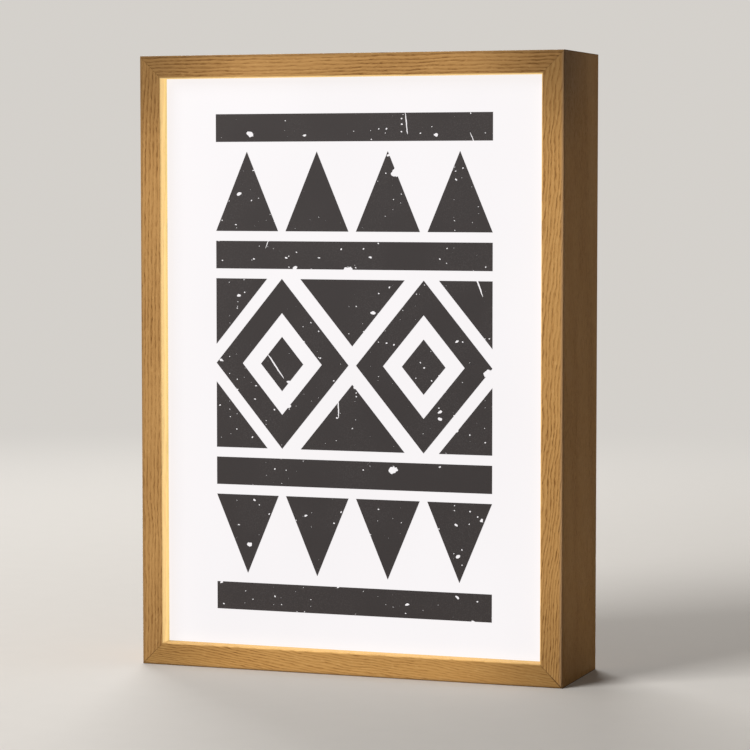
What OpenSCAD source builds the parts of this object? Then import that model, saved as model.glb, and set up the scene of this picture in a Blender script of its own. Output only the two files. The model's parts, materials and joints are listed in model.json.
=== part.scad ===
// Light box sign: a mitred oak box frame around a lit opal face, with its lamps and power inside.
// Sizes are in millimetres. X runs to the viewer's right, Y runs back to the wall, Z runs up.
// The origin is on the base, in the middle of the width and of the depth.

/* [Cabinet] */
// Width of the box
box_w = 224; // [204:1:320]
// Height of the box
box_h = 311; // [290:1:440]
// Depth of the box from its front edge to the wall
box_d = 62; // [60:1:80]
// Thickness of the rails, which is the width of the frame from the front
rail_t = 11.5; // [10.5:0.5:14]
// Rounding of the long outer edges of the rails
arris_r = 0.8; // [0.4:0.1:1.4]
// Glue line at each mitre
mitre_gap = 0.1; // [0.05:0.05:0.2]
// Length of a mitre key along the mitre
key_l = 6; // [4:0.5:6]
// Width of a mitre key across the mitre
key_w = 7; // [5:0.5:7]
// Thickness of a mitre key
key_t = 2; // [1.5:0.5:3]
// Clearance around a mitre key
key_play = 0.1; // [0.05:0.05:0.2]

/* [Face panel] */
// Setback of the face behind the front edge
lip_d = 8; // [5:0.5:10]
// Thickness of the face panel
face_t = 3; // [2:0.5:4]
// Depth of the groove that holds the face panel
groove_d = 4.5; // [3:0.5:5]
// Clearance of the face panel at the bottom of its groove
groove_play = 0.3; // [0.1:0.1:0.6]
// Clearance of the face panel across its groove
face_play = 0.2; // [0.1:0.05:0.4]

/* [Print] */
// Thickness of the print film on the face
print_t = 0.2; // [0.1:0.05:0.4]
// Bare margin of the face beside the print
print_side = 27; // [20:1:40]
// Bare margin of the face above and below the print
print_end = 18; // [12:1:24]
// Height of a printed bar
bar_h = 14; // [8:1:16]
// Height of a row of printed triangles
tri_h = 40; // [24:1:44]
// Number of triangles in a row
tri_count = 4; // [3:1:6]
// Bare gap between the printed rows
row_gap = 5; // [3:0.5:6]
// Bare gap between the printed shapes in a row
shape_gap = 4; // [2:0.5:6]

/* [Back] */
// Thickness of the back panel
back_t = 3; // [2.5:0.1:4]
// Setback of the back panel from the wall plane
back_set = 2; // [2:0.1:4]
// Width of the rebate ledge that carries the back panel
ledge_w = 6; // [5:0.5:7]
// Clearance around the back panel
back_play = 0.3; // [0.2:0.1:0.6]
// Distance of the end screws from the inner corners
screw_inset = 12; // [9:0.5:14]
// Length of a back panel screw
screw_l = 16; // [12:0.5:18]
// Radius of a back panel screw
screw_r = 1.4; // [1.2:0.1:1.6]
// Radius of a countersunk screw head
head_r = 2.8; // [2.6:0.1:2.9]
// Clearance of a screw in wood
pilot_play = 0.05; // [0.03:0.01:0.1]
// Clearance of a screw in a panel
hole_play = 0.3; // [0.2:0.05:0.4]

/* [Light board] */
// Thickness of the light board
board_t = 2; // [1.5:0.1:3]
// Clearance around the light board
board_play = 0.4; // [0.3:0.1:0.8]
// Space between the light board and the battery tub
board_gap = 0.8; // [0.5:0.1:1.5]
// Thickness of the battens on the rails
batten_t = 8; // [7:0.5:10]
// Depth of the battens on the rails
batten_d = 10; // [9:0.5:12]
// Radius of a board screw
pan_r = 1.25; // [1:0.05:1.5]
// Length of a board screw under its head
pan_l = 9; // [7:0.5:10]

/* [Lamps] */
// Number of lamp strips
strip_count = 4; // [3:1:5]
// Width of a lamp strip
strip_w = 10; // [9:0.5:12]
// Thickness of a lamp strip
strip_t = 0.3; // [0.2:0.05:0.5]
// Number of lamps on a strip
lamp_count = 8; // [6:1:10]
// Width of a lamp
lamp_w = 5; // [3:0.5:5]
// Thickness of a lamp
lamp_t = 1.6; // [0.8:0.1:1.6]

/* [Battery] */
// Diameter of a battery cell
cell_d = 14.2; // [13.8:0.1:14.5]
// Length of a battery cell with its contact
cell_l = 50.2; // [49.2:0.1:50.5]
// Gap between the battery cells
cell_gap = 0.5; // [0.4:0.1:1]
// Length of a contact spring
spring_l = 5; // [4.8:0.1:6]
// Wire of a contact spring
spring_wire = 0.7; // [0.6:0.05:0.7]
// Thickness of a contact plate
plate_t = 0.4; // [0.3:0.05:0.6]
// Wall of the battery tub
tub_wall = 1.6; // [1.4:0.1:2]
// Width of the flange around the battery tub
flange_w = 5; // [4.5:0.1:7]
// Thickness of the flange around the battery tub
flange_t = 2; // [1.6:0.1:2.4]
// Place of the battery tub across the box
tub_x = 22; // [12:1:26]
// Height of the middle of the battery tub above the base
tub_z = 82; // [72:1:88]
// Gap around the battery door
door_gap = 0.4; // [0.3:0.05:0.6]
// Radius of a battery door pin
pin_r = 0.9; // [0.8:0.05:0.9]
// Running clearance of the battery door pins
pin_play = 0.06; // [0.03:0.01:0.08]

/* [Switch] */
// Wood left in the side rail at the switch and the power socket
web_t = 3; // [2.5:0.1:3.5]
// Length of the switch body
switch_l = 13.4; // [13.2:0.1:14]
// Width of the switch body
switch_w = 9; // [8.8:0.1:9.4]
// Depth of the switch body behind the rail surface
switch_d = 13; // [12:0.5:14]
// Width of the switch bezel past the body
bezel_w = 1.2; // [1:0.1:1.6]
// Thickness of the switch bezel
bezel_t = 2; // [1.6:0.1:2.2]
// Tilt of the rocker to each side
rocker_tilt = 10; // [6:1:10]
// Clearance of the rocker in the switch body
rocker_play = 0.1; // [0.08:0.01:0.15]
// Radius of a rocker pivot
pivot_r = 0.8; // [0.6:0.05:0.9]
// Running clearance of the rocker pivots
pivot_play = 0.05; // [0.03:0.01:0.08]

/* [Power socket] */
// Radius of the socket thread
socket_r = 4; // [3.9:0.1:4.2]
// Radius of the socket flange
socket_flange_r = 5.5; // [5.3:0.1:6]
// Radius of the socket bore
socket_bore_r = 2.8; // [2.7:0.05:3]
// Radius of the socket pin
socket_pin_r = 1.05; // [1:0.05:1.25]
// Clearance of the socket in the rail
socket_play = 0.1; // [0.05:0.05:0.2]

/* [Driver] */
// Width of the driver board
driver_w = 24; // [23:1:28]
// Height of the driver board
driver_h = 50; // [48:1:56]
// Thickness of the driver board
driver_t = 1.6; // [1.2:0.1:2]
// Height of the posts under the driver board
post_h = 5.5; // [5:0.1:6]
// Distance of the driver board from the left rail
driver_x = 38; // [36:1:42]
// Drop of the middle of the driver board below the hanging batten
driver_drop = 55; // [52:1:62]

/* [Leads] */
// Diameter of a lead
lead_d = 1.6; // [1.2:0.1:1.6]

/* [Hanging] */
// Distance between the two keyholes
hang_pitch = 140; // [120:1:144]
// Height of the hanging batten
hang_h = 40; // [40:1:46]
// Depth of the hanging batten
hang_d = 10; // [9:0.5:11]
// Thickness of a keyhole plate
plate_s = 1.2; // [1:0.1:1.4]
// Width of a keyhole plate
plate_w = 18; // [16:1:20]
// Radius of the keyhole entry
entry_r = 4.5; // [4:0.1:5]
// Radius of the keyhole slot
slot_r = 2.25; // [2:0.05:2.5]
// Travel of a wall screw in the keyhole
slot_l = 10; // [9:0.5:10.5]
// Radius of a keyhole plate screw
plate_screw_r = 1.25; // [1:0.05:1.4]
// Length of a keyhole plate screw
plate_screw_l = 12; // [8:0.5:12]

/* [Hidden] */
$fn = 48;
// How far a cut overshoots
eps = 0.5;
// How far joined solids reach into each other
root = 0.2;
// Space past the tip of a screw
tip_play = 0.3;
// Space between pieces that fit snugly
snug = 0.05;
in_w = box_w - 2 * rail_t;
in_h = box_h - 2 * rail_t;
mid_z = box_h / 2;
mitre_cut = mitre_gap / sqrt(2);
// Depths of the mitre keys, as shares of the box
key_places = [0.38, 0.76];

// Depths are counted from the front edge.
back_v = box_d - back_set - back_t;
out_v = back_v + back_t;
cell_pitch = cell_d + cell_gap;
cell_play = 0.3;
tub_floor = 1.4;
tub_d = tub_floor + cell_d + 2 * cell_play;
bay_d = tub_d + board_gap;
board_v = back_v - bay_d - board_t;
bay_v = board_v + board_t;
bay_mid = back_v - bay_d / 2;

// Print rows, from the middle outwards.
print_w = in_w - 2 * print_side;
print_h = in_h - 2 * print_end;
dia_h = print_h - 4 * bar_h - 2 * tri_h - 6 * row_gap;
dia_w = (print_w - shape_gap) / 2;
// Opening and heart of a printed diamond, as shares of it
dia_ring = 0.6;
dia_core = 0.32;
// Bare space between the triangles beside the diamonds
fill_gap = 8;

// Screw heads.
board_screw_inset = 40;
pan_head_r = 2.4;
pan_head_t = 1.6;
sunk_t = 1.5;
sunk_play = 0.1;
recess_d = 0.8;
recess_t = 0.7;

// Lamp strips.
strip_end = 6;
strip_pitch = in_w / strip_count;
strip_l = in_h - 2 * batten_t - 2 * strip_end;
strip_top = mid_z + strip_l / 2;
lamp_end = 10;
lamp_step = (strip_l - 2 * lamp_end) / lamp_count;
lamp_v = board_v - strip_t;
function strip_x(i) = (i - (strip_count - 1) / 2) * strip_pitch;

// Battery tub, measured along the cells.
cell_n = 4;
cell_edge = 0.5;
nub_r = 2.75;
nub_h = 1.2;
end_play = 0.1;
tub_in_w = cell_n * cell_pitch + cell_gap;
tub_in_h = cell_l + spring_l + 2 * plate_t + 2 * end_play;
tub_out_w = tub_in_w + 2 * tub_wall;
tub_out_h = tub_in_h + 2 * tub_wall;
tub_v = back_v - tub_d;
cell_v = tub_v + tub_floor + cell_play + cell_d / 2;
cell_lo = tub_z - tub_in_h / 2;
cell_hi = tub_z + tub_in_h / 2;
rib_w = 1.6;
rib_h = 2.6;
rib_end = 6;
contact_w = 11;
tab_l = 4;
tab_w = 4;
tab_t = 0.6;
tab_play = 0.1;
tab_end = cell_hi + tub_wall + tab_l;
tub_screw_pitch = 36;
tub_screw_r = 1;
tub_screw_play = 0.15;
tub_head_r = 2;
tub_head_t = 1.4;
// Panel left over the tip of a tub screw
tub_skin = 0.6;
function cell_x(i) = tub_x + (i - (cell_n - 1) / 2) * cell_pitch;

// Battery door, which hangs from its upper edge.
door_lift = 0.3;
door_sink = 0.2;
door_edge = 0.5;
door_t = back_t - door_lift - door_sink;
door_v = back_v + door_lift;
door_lo = tub_z - tub_out_h / 2;
door_axis_v = door_v + door_t / 2;
door_axis_z = door_lo + tub_out_h - door_t / 2;
ear_play = 0.3;
ear_x = tub_out_w / 2 + ear_play;
ear_w = 3;
ear_h = 4.6;
door_pin_l = 2.3;

// A contact spring is one tube, and its least gap to itself is printed.
spring_turns = 3.5;
spring_steps = 28;
spring_r = 3.6;
spring_taper = 0.6;
spring_rise = spring_l - spring_wire - 2 * snug;
spring_path = [for (k = [0:spring_steps])
    let (s = k / spring_steps, a = 360 * spring_turns * s, r = spring_r - spring_taper * s)
    [r * cos(a), r * sin(a), spring_wire / 2 + snug + spring_rise * s]];
spring_gap = min([for (i = [0:spring_steps], j = [0:spring_steps]) if (j - i > 5)
    norm(spring_path[i] - spring_path[j]) - spring_wire]);
echo(spring_gap = spring_gap);

// Side rail pocket, with the power socket below the switch.
pocket_end = 4.5;
pocket_half = 7;
socket_rise = 10;
switch_rise = 26;
pocket_lo = rail_t + screw_inset + pocket_end;
socket_z = pocket_lo + socket_rise;
switch_z = socket_z + switch_rise;
pocket_hi = switch_z + switch_l / 2 + pocket_end;
bezel_edge = 0.7;
well_d = 6;
well_h = 11.6;
// Wall of the switch body beside the rocker, with the rocker's clearance
switch_side = 1.3;
rocker_half = switch_w / 2 - switch_side;
rocker_l = 10;
rocker_reach = 2.2;
pivot_x = rocker_reach - bezel_t;
pivot_l = 0.95;
pivot_end = 0.15;
blade_l = 6.5;
blade_w = 4;
blade_t = 0.8;
blade_rise = 4;
thread_l = 9;
socket_l = 12;
socket_flange_t = 1.5;
socket_edge = 0.5;
socket_bore_d = 8;
lug_l = 4;
lug_w = 2;
lug_t = 0.6;
lug_off = 2;
nut_r = 5.77;
nut_t = 2.2;
washer_r = 6;
washer_t = 0.5;
washer_play = 0.15;

// Leads end on these places.
driver_mid = driver_x - in_w / 2;
driver_z = box_h - rail_t - hang_h - driver_drop;
driver_v = bay_v + post_h;
pad_v = driver_v + driver_t;
pad_in = 3;
pad_lo = driver_z - driver_h / 2 + pad_in;
pad_hi = driver_z + driver_h / 2 - pad_in;
pad_pitch = 6;
function pad_x(k) = driver_mid + (k - 1.5) * pad_pitch;
grommet_r = 3;
grommet_bore_r = 2.1;
grommet_flange_r = 4.5;
grommet_flange_t = 1;
grommet_rise = 53;
grommet_x = strip_x(0) + strip_pitch / 2;
grommet_z = driver_z + grommet_rise;
blade_end = switch_d + blade_l - box_w / 2;
socket_end = socket_l + lug_l - box_w / 2;
lead_sides = 8;
lead_steps = 3;

// Driver board fittings.
post_side = 3.5;
post_end = 8;
post_r = 2.3;
post_foot_r = 3.2;
post_foot_t = 1.2;
post_neck_r = 1.5;
post_hole_r = 1.6;
post_cap_r = 2;
post_cap_t = 1.4;
coil_r = 4;
coil_core_r = 2.8;
coil_t = 1;
coil_l = 5;
coil_drop = 8;
can_r = 3.1;
can_l = 5.6;
can_edge = 0.4;
can_off = 4;
can_rise = 12;
// Driver chips: place across and up from the board's middle, then width, thickness and height
chips = [[0, 3, 6, 1.5, 5], [-6.5, 1, 2.6, 2, 4.2], [6.5, 1, 3.2, 1, 1.8]];

// Hanging batten.
hang_end = 19;
hang_play = 1;
hang_skin = 1.5;
hang_w = min(hang_pitch + 2 * hang_end, in_w - 2 * hang_play);
hang_z = box_h - rail_t - hang_h / 2;
entry_z = hang_z - slot_l / 2;
head_way = 0.8;
head_way_r = entry_r + head_way;
plate_screw_gap = 4.2;
plate_end = 4.5;
plate_head = 1.35;
plate_screw_z = slot_l / 2 + head_way_r + plate_screw_gap;
plate_core = 2 * (plate_screw_z + plate_end) - plate_w;

module from_front() {
    translate([0, -box_d / 2, 0]) children();
}

// Extrudes an outline in X and Z from one depth to another.
module sheet(v, t) {
    translate([0, v + t, 0]) rotate([90, 0, 0]) linear_extrude(t) children();
}

// A cylinder along the depth.
module rod(x, v, z, r, h) {
    translate([x, v, z]) rotate([-90, 0, 0]) cylinder(r = r, h = h);
}

// A box from its middle in X and Z and its start in depth.
module block(x, v, z, w, t, h) {
    translate([x - w / 2, v, z - h / 2]) cube([w, t, h]);
}

// A cone along the depth.
module taper(x, v, z, r1, r2, h) {
    translate([x, v, z]) rotate([-90, 0, 0]) cylinder(r1 = r1, r2 = r2, h = h);
}

// Leads and springs are swept along their routes.
function unit(a) = a / norm(a);
function knot(a, b, c, d, t) = 0.5 * (2 * b + (c - a) * t
    + (2 * a - 5 * b + 4 * c - d) * t * t
    + (3 * b - 3 * c + d - a) * t * t * t);
// The first and last stretches stay straight, so that a lead meets its pad squarely.
function smooth(p, n) = concat(
    [p[0]],
    [for (i = [1:len(p) - 3], k = [0:n - 1]) knot(p[i - 1], p[i], p[i + 1], p[i + 2], k / n)],
    [p[len(p) - 2], p[len(p) - 1]]);
function headings(p) = [for (i = [0:len(p) - 1])
    unit(p[min(i + 1, len(p) - 1)] - p[max(i - 1, 0)])];
function carried(t, n, i = 1) = i == len(t) ? n :
    carried(t, concat(n, [unit(n[i - 1] - (n[i - 1] * t[i]) * t[i])]), i + 1);
function square_to(t) = unit(cross(t, abs(t[2]) < 0.8 ? [0, 0, 1] : [1, 0, 0]));

module tube(p, d, sides) {
    t = headings(p);
    n = carried(t, [square_to(t[0])]);
    last = len(p) - 1;
    points = [for (i = [0:last], k = [0:sides - 1])
        p[i] + d / 2 * (cos(360 * k / sides) * n[i] + sin(360 * k / sides) * cross(t[i], n[i]))];
    walls = [for (i = [0:last - 1], k = [0:sides - 1])
        let (a = i * sides + k, b = i * sides + (k + 1) % sides)
        each [[a, a + sides, b], [b, a + sides, b + sides]]];
    near = [for (k = [1:sides - 2]) [0, k, k + 1]];
    far = [for (k = [1:sides - 2]) [last * sides, last * sides + k + 1, last * sides + k]];
    polyhedron(points, concat(walls, near, far));
}

// Rails share one section: the outer face is at X 0 and the front at Y 0.
module edge_cut(r) {
    difference() {
        translate([-eps, -eps]) square(r + eps);
        translate([r, r]) circle(r);
    }
}

module rail_section() {
    difference() {
        square([rail_t, box_d]);
        translate([rail_t - groove_d, lip_d]) square([groove_d + eps, face_t + face_play]);
        translate([rail_t - ledge_w, back_v]) square([ledge_w + eps, box_d]);
        edge_cut(arris_r);
        translate([rail_t, 0]) mirror([1, 0]) edge_cut(arris_r);
        translate([0, box_d]) mirror([0, 1]) edge_cut(arris_r);
    }
}

module mitre_keys_at(play) {
    for (sx = [-1, 1], top = [0, 1], v = key_places)
        translate([sx * (box_w / 2 - rail_t / 2), v * box_d, top ? box_h - rail_t / 2 : rail_t / 2])
            rotate([0, 45, 0])
                cube([sx * (top ? -1 : 1) > 0 ? key_w + 2 * play : key_l + 2 * play,
                      key_t + 2 * play,
                      sx * (top ? -1 : 1) > 0 ? key_l + 2 * play : key_w + 2 * play], center = true);
}

// Screws of the back panel: three on each side, two on each end.
module at_back_screws() {
    for (sx = [-1, 1], k = [-1, 0, 1])
        translate([sx * (in_w + ledge_w) / 2, 0, mid_z + k * (in_h / 2 - screw_inset)]) children();
    for (sz = [-1, 1], sx = [-1, 1])
        translate([sx * in_w / 4, 0, mid_z + sz * (in_h + ledge_w) / 2]) children();
}

module back_pilots() {
    at_back_screws() rod(0, out_v - screw_l - tip_play, 0, screw_r + pilot_play, screw_l + eps);
}

module upright_rail() {
    intersection() {
        translate([-box_w / 2, 0, 0]) linear_extrude(box_h) rail_section();
        sheet(-eps, box_d + 2 * eps) polygon([
            [-box_w / 2 - eps, mitre_cut - eps],
            [-box_w / 2 + rail_t + eps, rail_t + mitre_cut + eps],
            [-box_w / 2 + rail_t + eps, box_h - rail_t - mitre_cut - eps],
            [-box_w / 2 - eps, box_h - mitre_cut + eps]]);
    }
}

module cross_rail() {
    intersection() {
        translate([box_w / 2, 0, 0]) rotate([0, -90, 0]) linear_extrude(box_w) rail_section();
        sheet(-eps, box_d + 2 * eps) polygon([
            [-box_w / 2 - eps, -eps],
            [box_w / 2 + eps, -eps],
            [box_w / 2 - rail_t - eps, rail_t + eps],
            [-box_w / 2 + rail_t + eps, rail_t + eps]]);
    }
}

module top_rail() {
    color("#b98748") from_front() difference() {
        translate([0, 0, box_h]) mirror([0, 0, 1]) cross_rail();
        mitre_keys_at(key_play);
        back_pilots();
    }
}

module bottom_rail() {
    color("#b98748") from_front() difference() {
        cross_rail();
        mitre_keys_at(key_play);
        back_pilots();
    }
}

module left_rail() {
    color("#ae7d42") from_front() difference() {
        upright_rail();
        mitre_keys_at(key_play);
        back_pilots();
        translate([web_t - box_w / 2, bay_mid - pocket_half, pocket_lo])
            cube([rail_t, 2 * pocket_half, pocket_hi - pocket_lo]);
        block(-box_w / 2, bay_mid - switch_w / 2 - socket_play, switch_z,
              rail_t, switch_w + 2 * socket_play, switch_l + 2 * socket_play);
        translate([-box_w / 2 - eps, bay_mid, socket_z]) rotate([0, 90, 0])
            cylinder(r = socket_r + socket_play, h = rail_t);
    }
}

module right_rail() {
    color("#ae7d42") from_front() difference() {
        mirror([1, 0, 0]) upright_rail();
        mitre_keys_at(key_play);
        back_pilots();
    }
}

module mitre_keys() {
    color("#8a5f35") from_front() mitre_keys_at(0);
}

module face_panel() {
    grip = 2 * (groove_d - groove_play);
    color("#f7f5f2") from_front() block(0, lip_d, mid_z, in_w + grip, face_t, in_h + grip);
}

// The print is a stack of bars, triangles and diamonds, the same above and below the middle.
module tri_row(z, h) {
    w = (print_w + shape_gap) / tri_count;
    for (i = [0:tri_count - 1])
        translate([(i - (tri_count - 1) / 2) * w, z])
            polygon([[-(w - shape_gap) / 2, 0], [(w - shape_gap) / 2, 0], [0, h]]);
}

module diamond(k) {
    polygon([[-k * dia_w / 2, 0], [0, -k * dia_h / 2], [k * dia_w / 2, 0], [0, k * dia_h / 2]]);
}

module print_half() {
    bar_1 = dia_h / 2 + row_gap;
    tri_1 = bar_1 + bar_h + row_gap;
    bar_2 = tri_1 + tri_h + row_gap;
    fill_w = dia_w / 2 - fill_gap;
    fill_h = fill_w * dia_h / dia_w;
    translate([-print_w / 2, bar_1]) square([print_w, bar_h]);
    tri_row(tri_1, tri_h);
    translate([-print_w / 2, bar_2]) square([print_w, bar_h]);
    translate([0, dia_h / 2]) polygon([[-fill_w, 0], [fill_w, 0], [0, -fill_h]]);
    for (s = [-1, 1])
        translate([s * print_w / 2, dia_h / 2]) polygon([[0, 0], [-s * fill_w, 0], [0, -fill_h]]);
}

module print_film() {
    color("#444040") from_front() sheet(lip_d - print_t, print_t) translate([0, mid_z]) {
        print_half();
        mirror([0, 1]) print_half();
        for (s = [-1, 1]) translate([s * (dia_w + shape_gap) / 2, 0]) {
            difference() {
                diamond(1);
                diamond(dia_ring);
            }
            diamond(dia_core);
        }
    }
}

module top_batten() {
    color("#e9e4da") from_front() batten_across(box_h - rail_t - batten_t / 2);
}

module bottom_batten() {
    color("#e9e4da") from_front() batten_across(rail_t + batten_t / 2);
}

module batten_across(z) {
    block(0, board_v - batten_d, z, in_w - 2 * batten_t, batten_d, batten_t);
}

module left_batten() {
    color("#e9e4da") from_front() batten_upright(-1);
}

module right_batten() {
    color("#e9e4da") from_front() batten_upright(1);
}

module batten_upright(s) {
    difference() {
        block(s * (in_w - batten_t) / 2, board_v - batten_d, mid_z, batten_t, batten_d, in_h);
        at_board_screws() rod(0, bay_v - pan_l - tip_play, 0, pan_r + pilot_play, pan_l + eps);
    }
}

module at_board_screws() {
    for (sx = [-1, 1], k = [-1, 0, 1])
        translate([sx * (in_w - batten_t) / 2, 0, mid_z + k * (in_h / 2 - board_screw_inset)]) children();
}

module light_board() {
    color("#f4f4f1") from_front() difference() {
        block(0, board_v, mid_z, in_w - 2 * board_play, board_t, in_h - 2 * board_play);
        at_board_screws() rod(0, board_v - eps, 0, pan_r + hole_play, board_t + 2 * eps);
        rod(grommet_x, board_v - eps, grommet_z, grommet_r + snug, board_t + 2 * eps);
    }
}

// A cross recess for a screw head, cut from the rear.
module cross_recess(v, w) {
    for (a = [0, 90])
        translate([0, v, 0]) rotate([0, a, 0]) cube([w, 2 * recess_d, recess_t], center = true);
}

module board_screws() {
    color("#9a9c9e") from_front() at_board_screws() difference() {
        union() {
            rod(0, bay_v - pan_l, 0, pan_r, pan_l + root);
            rod(0, bay_v, 0, pan_head_r, pan_head_t);
        }
        cross_recess(bay_v + pan_head_t, pan_head_r);
    }
}

module lamp_strips() {
    color("#efe9cf") from_front()
        for (i = [0:strip_count - 1])
            block(strip_x(i), lamp_v, mid_z, strip_w, strip_t, strip_l);
}

module lamps() {
    color("#f6e27a") from_front()
        for (i = [0:strip_count - 1], k = [0:lamp_count - 1])
            block(strip_x(i), lamp_v - lamp_t, mid_z + (k - (lamp_count - 1) / 2) * lamp_step,
                  lamp_w, lamp_t, lamp_w);
}

module cable_grommet() {
    front = board_v - grommet_flange_t;
    through = board_t + 2 * grommet_flange_t;
    color("#2b2b2b") from_front() difference() {
        union() {
            rod(grommet_x, front, grommet_z, grommet_flange_r, grommet_flange_t);
            rod(grommet_x, front, grommet_z, grommet_r, through);
            rod(grommet_x, bay_v, grommet_z, grommet_flange_r, grommet_flange_t);
        }
        rod(grommet_x, front - eps, grommet_z, grommet_bore_r, through + 2 * eps);
    }
}

module tub_body() {
    block(tub_x, tub_v, tub_z, tub_out_w, tub_d, tub_out_h);
    block(tub_x, back_v - flange_t, tub_z, tub_out_w + 2 * flange_w, flange_t, tub_out_h + 2 * flange_w);
    for (s = [-1, 1])
        block(tub_x + s * (ear_x + ear_w / 2), back_v - flange_t, door_axis_z,
              ear_w, flange_t + back_t - door_sink, ear_h);
}

module tub_hollow() {
    block(tub_x, tub_v + tub_floor, tub_z, tub_in_w, tub_d, tub_in_h);
    for (s = [-1, 1])
        translate([tub_x + s * ear_x - (s > 0 ? eps : door_pin_l + ear_play), door_axis_v, door_axis_z])
            rotate([0, 90, 0]) cylinder(r = pin_r + pin_play, h = door_pin_l + ear_play + eps);
    for (i = [0, cell_n - 1])
        block(cell_x(i), cell_v - tab_t / 2 - tab_play, cell_hi + tub_wall / 2,
              tab_w + 2 * tab_play, tab_t + 2 * tab_play, 2 * tub_wall);
    at_tub_screws() rod(0, back_v - flange_t - eps, 0, tub_screw_r + tub_screw_play, flange_t + 2 * eps);
}

module at_tub_screws() {
    for (sx = [-1, 1], sz = [-1, 1])
        translate([tub_x + sx * (tub_out_w + flange_w) / 2, 0, tub_z + sz * tub_screw_pitch / 2])
            children();
}

module battery_tub() {
    color("#2f3033") from_front() union() {
        difference() {
            tub_body();
            tub_hollow();
        }
        for (i = [0:cell_n - 2])
            block((cell_x(i) + cell_x(i + 1)) / 2, tub_v + tub_floor - root, tub_z,
                  rib_w, rib_h + root, tub_in_h - 2 * rib_end);
    }
}

module tub_screws() {
    color("#9a9c9e") from_front() at_tub_screws() difference() {
        union() {
            rod(0, back_v - flange_t - tub_head_t, 0, tub_head_r, tub_head_t);
            rod(0, back_v - flange_t - root, 0, tub_screw_r, flange_t + back_t - tub_skin);
        }
        cross_recess(back_v - flange_t - tub_head_t, tub_head_r);
    }
}

// Cells stand with the plus end up, then down, in turn.
module cell_up(i) {
    r = cell_d / 2;
    body = cell_l - nub_h;
    translate([cell_x(i), cell_v, cell_lo + plate_t + spring_l + end_play]) {
        cylinder(r1 = r - cell_edge, r2 = r, h = cell_edge);
        translate([0, 0, cell_edge]) cylinder(r = r, h = body - 2 * cell_edge);
        translate([0, 0, body - cell_edge]) cylinder(r1 = r, r2 = r - cell_edge, h = cell_edge);
        translate([0, 0, body - root]) cylinder(r = nub_r, h = nub_h + root);
    }
}

module turned(i) {
    if (i % 2 == 0) children();
    else translate([0, 0, 2 * tub_z]) mirror([0, 0, 1]) children();
}

module battery_cells() {
    color("#41596a") from_front()
        for (i = [0:cell_n - 1]) turned(i) cell_up(i);
}

module contact_springs() {
    color("#c9ccd0") from_front()
        for (i = [0:cell_n - 1]) turned(i)
            translate([cell_x(i), cell_v, cell_lo + plate_t + snug]) tube(spring_path, spring_wire, 6);
}

module contact_plate(i, j, z) {
    translate([cell_x(i) - contact_w / 2, cell_v - contact_w / 2, z])
        cube([cell_x(j) - cell_x(i) + contact_w, contact_w, plate_t]);
}

module contact_plates() {
    color("#d3d5d8") from_front() {
        contact_plate(0, 1, cell_lo);
        contact_plate(2, 3, cell_lo);
        contact_plate(1, 2, cell_hi - plate_t);
        for (i = [0, cell_n - 1]) {
            contact_plate(i, i, cell_hi - plate_t);
            translate([cell_x(i) - tab_w / 2, cell_v - tab_t / 2, cell_hi - root])
                cube([tab_w, tab_t, tub_wall + tab_l + root]);
        }
    }
}

// The door plate has its outer edges eased at the sides and the foot.
module door_plate() {
    hull() for (e = [0, door_edge])
        translate([tub_x - tub_out_w / 2 + e, door_v, door_lo + e])
            cube([tub_out_w - 2 * e, e > 0 ? door_t : door_t - door_edge, door_axis_z - door_lo - e]);
}

module battery_door() {
    groove_w = 18;
    groove_pitch = 2.2;
    groove_t = 1.2;
    groove_sink = 0.7;
    slit_x = 13;
    slit_h = 16.5;
    latch_w = 6;
    latch_t = 0.8;
    latch_reach = 0.25;
    color("#3a3b3e") from_front() difference() {
        union() {
            door_plate();
            translate([tub_x - tub_out_w / 2, door_axis_v, door_axis_z]) rotate([0, 90, 0])
                cylinder(r = door_t / 2, h = tub_out_w);
            translate([tub_x - ear_x - door_pin_l, door_axis_v, door_axis_z]) rotate([0, 90, 0])
                cylinder(r = pin_r, h = 2 * (ear_x + door_pin_l));
            block(tub_x, door_v + latch_t, door_lo, latch_w, latch_t, 2 * latch_reach);
        }
        // Grip grooves on the latch tongue, and the slits beside it.
        for (k = [-2:2])
            block(tub_x, door_v + door_t - groove_sink, door_lo + slit_h / 2 + groove_pitch * k,
                  groove_w - 2 * abs(k), door_t, groove_t);
        for (s = [-1, 1])
            block(tub_x + s * slit_x, door_v - eps, door_lo, groove_t, door_t + 2 * eps, 2 * slit_h);
    }
}

// The bezel has its outer edges eased.
module bezel_plate() {
    w = switch_w + 2 * bezel_w;
    h = switch_l + 2 * bezel_w;
    hull() {
        block((bezel_edge - bezel_t) / 2, -w / 2, 0, bezel_t - bezel_edge, w, h);
        block(-bezel_t / 2, bezel_edge - w / 2, 0, bezel_t, w - 2 * bezel_edge, h - 2 * bezel_edge);
    }
}

module switch_housing() {
    bore_half = rocker_half + pivot_l + pivot_end;
    color("#26272a") from_front() translate([-box_w / 2, bay_mid, switch_z]) difference() {
        union() {
            bezel_plate();
            block((switch_d - root) / 2, -switch_w / 2, 0, switch_d + root, switch_w, switch_l);
        }
        block(0, -rocker_half - rocker_play, 0, 2 * well_d, 2 * (rocker_half + rocker_play), well_h);
        rod(pivot_x, -bore_half, 0, pivot_r + pivot_play, 2 * bore_half);
    }
}

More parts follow.
